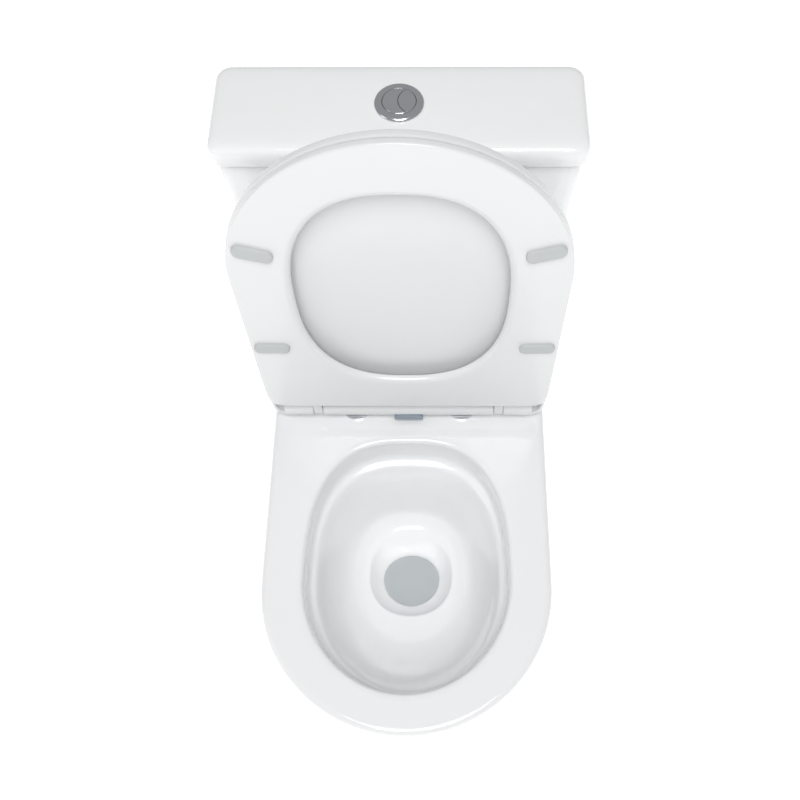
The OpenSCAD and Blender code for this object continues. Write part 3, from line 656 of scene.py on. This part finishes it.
def make_bezel():
    """Chrome ring with a threaded tube below it and a floor that guides the stems."""
    top, seat, low = bezel_high.z, cover_high.z, bezel_low.z
    outer = bezel_high.x
    profile = [(3, low), (18.6, low), (19, low + 0.4), (19, seat), (outer - 0.4, seat)]
    profile += [(outer, seat + 0.4), (outer, seat + 1.0), (outer - 0.5, seat + 1.9)]
    profile += [(outer - 1.5, seat + 2.7), (outer - 2.6, top - 0.12), (outer - 4, top - 0.02)]
    profile += [(BUTTON_R + 1.2, top), (BUTTON_R + 0.55, top - 0.15), (BUTTON_R + 0.3, top - 0.7)]
    profile += [(BUTTON_R + 0.3, low + 3.2), (BUTTON_R - 0.2, low + 3), (3, low + 3)]
    bezel = solid("button_ring", lathe(profile, 0, button_y))
    for x in (FULL_STEM_X, HALF_STEM_X):
        cut(bezel, lathe([(3.7, low - 5), (3.7, low + 10)], x, button_y))
    return finish_piece(bezel, "tank_lid_unit", "chrome", ["button_bezel"], 50)


def make_button(name, node, body, x_stem, gap, operation):
    """One of the two push faces, very slightly domed, on its stem."""
    base, top = button_high.z - 7, button_high.z
    profile = [(14, base), (BUTTON_R - 0.2, base), (BUTTON_R, base + 0.2), (BUTTON_R, top - 1.1)]
    profile += [(BUTTON_R - 0.15, top - 0.7), (BUTTON_R - 0.5, top - 0.42)]
    profile += [(BUTTON_R - 1.4, top - 0.26)]
    profile += [(r, top - 0.2 * (r / 15) ** 2) for r in (13, 10, 7, 4, 1.5)]
    face = solid(name, lathe(profile, 0, button_y))
    join(face, lathe([(BUTTON_R + gap, base - 5), (BUTTON_R + gap, top + 5)], LENS_SHIFT, button_y),
         operation)
    soften(face, 0.3)
    stem_low = button_low.z
    stem = [(2.6, stem_low), (4.2, stem_low), (4.4, stem_low + 0.3), (4.4, stem_low + 2.4)]
    stem += [(4.2, stem_low + 2.7), (3.4, stem_low + 2.7), (3.4, base + 1)]
    join(face, lathe(stem, x_stem, button_y))
    cut(face, lathe([(2.55, stem_low - 1), (2.55, stem_low + 16)], x_stem, button_y))
    return finish_piece(face, body, "chrome", [node])


# ---- Seat and lid, drawn shut about the hinge line and lifted to the open rest ----

SEAT_HALF = 176.5
SEAT_REACH = 417.5
FRONT_CURVE = 166
SEAT_UNDER = -17
HOLE_HALF = 114
PIN_HOLE_R = 5.05
LUG_IN = 111.5
BOSS_IN = 123.6
BOSS_OUT = 161.1


def seat_ring_at(share, inset, t):
    """Outline of the seat: share 0 is its outer edge and 1 the edge of its hole."""
    outer = egg(SEAT_HALF - inset, FRONT_CURVE - SEAT_REACH, inset - SEAT_REACH,
                -22 - inset, 2, 24, t)
    mid, reach = -219.5, 140.5
    hole = egg(HOLE_HALF + inset, mid, mid - reach - inset, mid + reach + inset, 2.5, 2.5, t)
    return [tuple((1 - share) * a + share * b for a, b in zip(p, q)) for p, q in zip(outer, hole)]


def lug_outline(radius, reach, low, high):
    """Side view of a hinge knuckle: a round eye with an arm towards the seat."""
    outline = [(-reach, high), (-reach, low)]
    outline += [(-math.sqrt(max(radius ** 2 - low ** 2, 0)), low)] if abs(low) < radius else []
    start = 180 - math.degrees(math.asin(low / radius))
    finish = 360 + math.degrees(math.asin(min(high / radius, 1)))
    if high >= radius:
        finish = 450
    return outline + arc((0, 0), radius, start, finish, 40)[1:]


def make_seat():
    rows = [(0, 4, -17), (0, 1.2, -16.7), (0, 0, -15.2), (0, 0, -12), (0, 0, -9.2), (0, 1, -7.7)]
    rows += [(0, 4, -7.5), (0.1, 4, -7.5), (0.5, 4, -7.5), (0.9, 4, -7.5), (1, 4, -7.5)]
    rows += [(1, 1, -7.8), (1, 0, -9.4), (1, 0, -11.5), (1, 0.4, -13), (1, 2, -15.4), (1, 5.5, -17)]
    rows += [(0.9, 6, -17.1), (0.7, 5, -17.3), (0.5, 4.5, -17.4), (0.3, 4, -17.3), (0.1, 4, -17.1)]
    rings = [seat_ring_at(*row) for row in cut_corners([list(row) for row in rows], 2, True)]
    seat = solid("seat_moulding", lifted(skin(rings, True)))
    lug = prism(lug_outline(11, 32, -11, 0), LUG_IN, LUG_IN + 11.6, 1, along_x)
    for shape in (lug, mirrored(lug)):
        join(seat, lifted(shape))
    pin = prism(arc((0, 0), PIN_HOLE_R, 0, 352.5, 47), LUG_IN - 5, LUG_IN + 20, 0.1, along_x)
    for shape in (pin, mirrored(pin)):
        cut(seat, lifted(shape))
    return finish_piece(seat, "seat", "seat_plastic", ["seat_ring"])


def make_pads():
    """Four grey buffers on the underside of the seat."""
    middle = (HOLE_HALF + SEAT_HALF) / 2
    pads = None
    for x, s, turn, width in ((middle - 1, 292, -16, 15), (middle + 6, 144, 0, 14)):
        reach = (41 - width) / 2
        outline = arc((reach, 0), width / 2, -90, 90, 14) + arc((-reach, 0), width / 2, 90, 270, 14)
        rotate = Matrix.Rotation(math.radians(turn), 2)
        rings = []
        for inset, t in ((0, SEAT_UNDER), (0, -20), (0.25, -20.7), (0.8, -21.3), (1.7, -21.6),
                         (3, -21.7)):
            moved = [rotate @ Vector(point) for point in shrunk(outline, inset)]
            rings.append([(x + p.x, p.y - s, t) for p in moved])
        shape = lifted(skin(rings))
        for one in (shape, mirrored(shape)):
            if pads is None:
                pads = solid("seat_buffers", one)
            else:
                join(pads, one)
    return finish_piece(pads, "seat", "grey_pads", ["seat_pads"])


def make_lid():
    """Deep lid that closes over the seat: a smooth dished roof and a rounded skirt."""
    half, reach = 177, 418

    def ring(inset, t):
        return egg(half - inset, FRONT_CURVE - reach, inset - reach, 14 - inset, 2, 24, t)

    inside = [[70, 3.6], [30, 3.5], [16, 3.1], [8, 2.2], [4.8, 0.2], [4, -2.4], [4, -5.6]]
    edge = [[3.6, -6.5], [2.6, -6.8], [1.2, -6.75], [0.2, -6.1], [0, -5.2]]
    outside = [[0, -3], [0, 0.4], [0.5, 1.9], [2.2, 3.4], [6, 4.9], [12, 6.2], [22, 7.3],
               [40, 8.2], [80, 8.9], [120, 9]]
    rows = cut_corners(inside, 2) + edge + cut_corners(outside, 2)
    lid = solid("lid_moulding", lifted(skin([ring(*row) for row in rows])))
    cut(lid, lifted(block((-BOSS_IN - 20, -22, -60), (BOSS_IN + 20, 38, 60), 2)))
    boss = prism(lug_outline(12, 34, -6.9, 4), BOSS_IN, BOSS_OUT, 1.2, along_x)
    for shape in (boss, mirrored(boss)):
        join(lid, lifted(shape))
    pin = prism(arc((0, 0), PIN_HOLE_R, 0, 352.5, 47), BOSS_IN - 5, BOSS_IN + 22, 0.1, along_x)
    for shape in (pin, mirrored(pin)):
        cut(lid, lifted(shape))
    return finish_piece(lid, "lid", "seat_plastic", ["seat_lid"])


# ---- Hinge ----

BAR_R = 12
DAMPER_BORE_R = 9.05
spring_z = rim_z + 12


def make_bar():
    """Hinge bar that the seat and lid turn on, standing on a foot over the two posts."""
    circle = arc((hinge.y, hinge.z), BAR_R, 0, 356.25, 95)
    bar = solid("hinge_moulding", prism(circle, bar_low.x, bar_high.x, 1.2, along_x))
    foot_low = (bar_low.x + 16, hinge.y - 6, bar_low.z)
    join(bar, block(foot_low, (bar_high.x - 16, hinge.y + 26, bar_low.z + 10), 2))
    bore = prism(arc((hinge.y, hinge.z), DAMPER_BORE_R, 0, 352.5, 47),
                 bar_high.x - 57, bar_high.x + 5, 0.1, along_x)
    for shape in (bore, mirrored(bore)):
        cut(bar, shape)
    for x in (-post_x, post_x):
        cut(bar, lathe([(6.3, bar_low.z - 5), (6.3, bar_low.z + 8)], x, disc_y))
    release_low, release_high = extent("release_button")
    slot_half = release_high.x + 0.5
    cut(bar, block((-slot_half, hinge.y - 20, release_low.z - 0.5),
                   (slot_half, hinge.y + 2, release_high.z + 0.5), 0.5))
    cut(bar, prism(arc((0, spring_z), 4, 0, 348.75, 31), hinge.y - 1, hinge.y + 10, 0.1, along_y))
    return finish_piece(bar, "hinge_unit", "seat_plastic", ["hinge_bar"])


def make_release():
    """Thumb button in the front of the bar that frees the seat from its posts."""
    low, high = extent("release_button")
    shoulder = high.z - 4
    outline = [(low.x, low.z), (high.x, low.z)]
    outline += arc((high.x - 5, shoulder - 1), 5, 0, 90, 8)
    outline += arc((low.x + 5, shoulder - 1), 5, 90, 180, 8)
    button = solid("release_thumb", prism(outline, low.y, high.y - 0.2, 1.0, along_y))
    spring_hole = arc((0, spring_z), 3.6, 0, 348.75, 31)
    cut(button, prism(spring_hole, low.y + 6, high.y + 5, 0.1, along_y))
    return finish_piece(button, "release", "release_grey", ["release_button"])


make_pan()
make_water()
make_tank()
make_cover()
make_bezel()
make_button("large_push", "full_flush_button", "full_flush", FULL_STEM_X, 0.6, "DIFFERENCE")
make_button("small_push", "half_flush_button", "half_flush", HALF_STEM_X, 0, "INTERSECT")
make_seat()
make_pads()
make_lid()
make_bar()
make_release()

for name, node in frame["nodes"].items():
    node.data.materials.clear()
    node.data.materials.append(finishes[slot_of[name]])


# ---- Floor, light and camera ----

def studio_floor():
    finish = Finish("studio_floor", Emission_Strength=0.72)
    finish.shader.inputs["Emission Color"].default_value = (1, 1, 1, 1)
    speckle = finish.noise(30, 2)
    return finish.set(
        Base_Color=finish.blend(speckle, (0.93, 0.93, 0.93), (0.95, 0.95, 0.95)),
        Roughness=0.7 + 0.1 * speckle,
    )


floor = solid("floor", ([(-9000, -9000, 0), (9000, -9000, 0), (9000, 9000, 0), (-9000, 9000, 0)],
                        [(0, 1, 2, 3)]))
floor.data.materials.append(studio_floor())


def soft_light(name, place, target, size, power):
    lamp = bpy.data.lights.new(name, "AREA")
    lamp.shape = "RECTANGLE"
    lamp.size, lamp.size_y = size
    lamp.energy = power
    made = bpy.data.objects.new(name, lamp)
    made.location = place
    made.rotation_euler = (Vector(target) - Vector(place)).to_track_quat("-Z", "Y").to_euler()
    scene.collection.objects.link(made)


soft_light("front_softbox", (0.1, -1.1, 3.3), (0, -0.08, 0.3), (1.4, 1.4), 57)
soft_light("left_softbox", (-2.2, -0.6, 1.6), (0, 0, 0.4), (1.0, 1.4), 4)

world = bpy.data.worlds.new("studio")
world.use_nodes = True
world.node_tree.nodes["Background"].inputs["Color"].default_value = (1.0, 1.0, 1.0, 1)
world.node_tree.nodes["Background"].inputs["Strength"].default_value = 0.34
scene.world = world
scene.view_settings.view_transform = "Standard"

FOCAL = 789.88
IMAGE = 800
CENTRE_X, CENTRE_Y = 432.27, 473.32
SENSOR = 36
PITCH, YAW, ROLL = math.radians(68.31), math.radians(-0.92), math.radians(-0.75)
forward = Vector((math.sin(YAW) * math.cos(PITCH), math.cos(YAW) * math.cos(PITCH),
                  -math.sin(PITCH)))
level = Vector((math.cos(YAW), -math.sin(YAW), 0))
upright = level.cross(forward)
right = math.cos(ROLL) * level + math.sin(ROLL) * upright
up = math.cos(ROLL) * upright - math.sin(ROLL) * level

camera = bpy.data.objects.new("camera", bpy.data.cameras.new("camera"))
camera.data.sensor_width = SENSOR
camera.data.lens = FOCAL * SENSOR / IMAGE
camera.data.shift_x = (IMAGE / 2 - CENTRE_X) / IMAGE
camera.data.shift_y = (CENTRE_Y - IMAGE / 2) / IMAGE
turn = Matrix((right, up, -forward)).transposed()
camera.matrix_world = Matrix.Translation((0.03741, -0.36281, 1.35204)) @ turn.to_4x4()
scene.collection.objects.link(camera)
scene.camera = camera
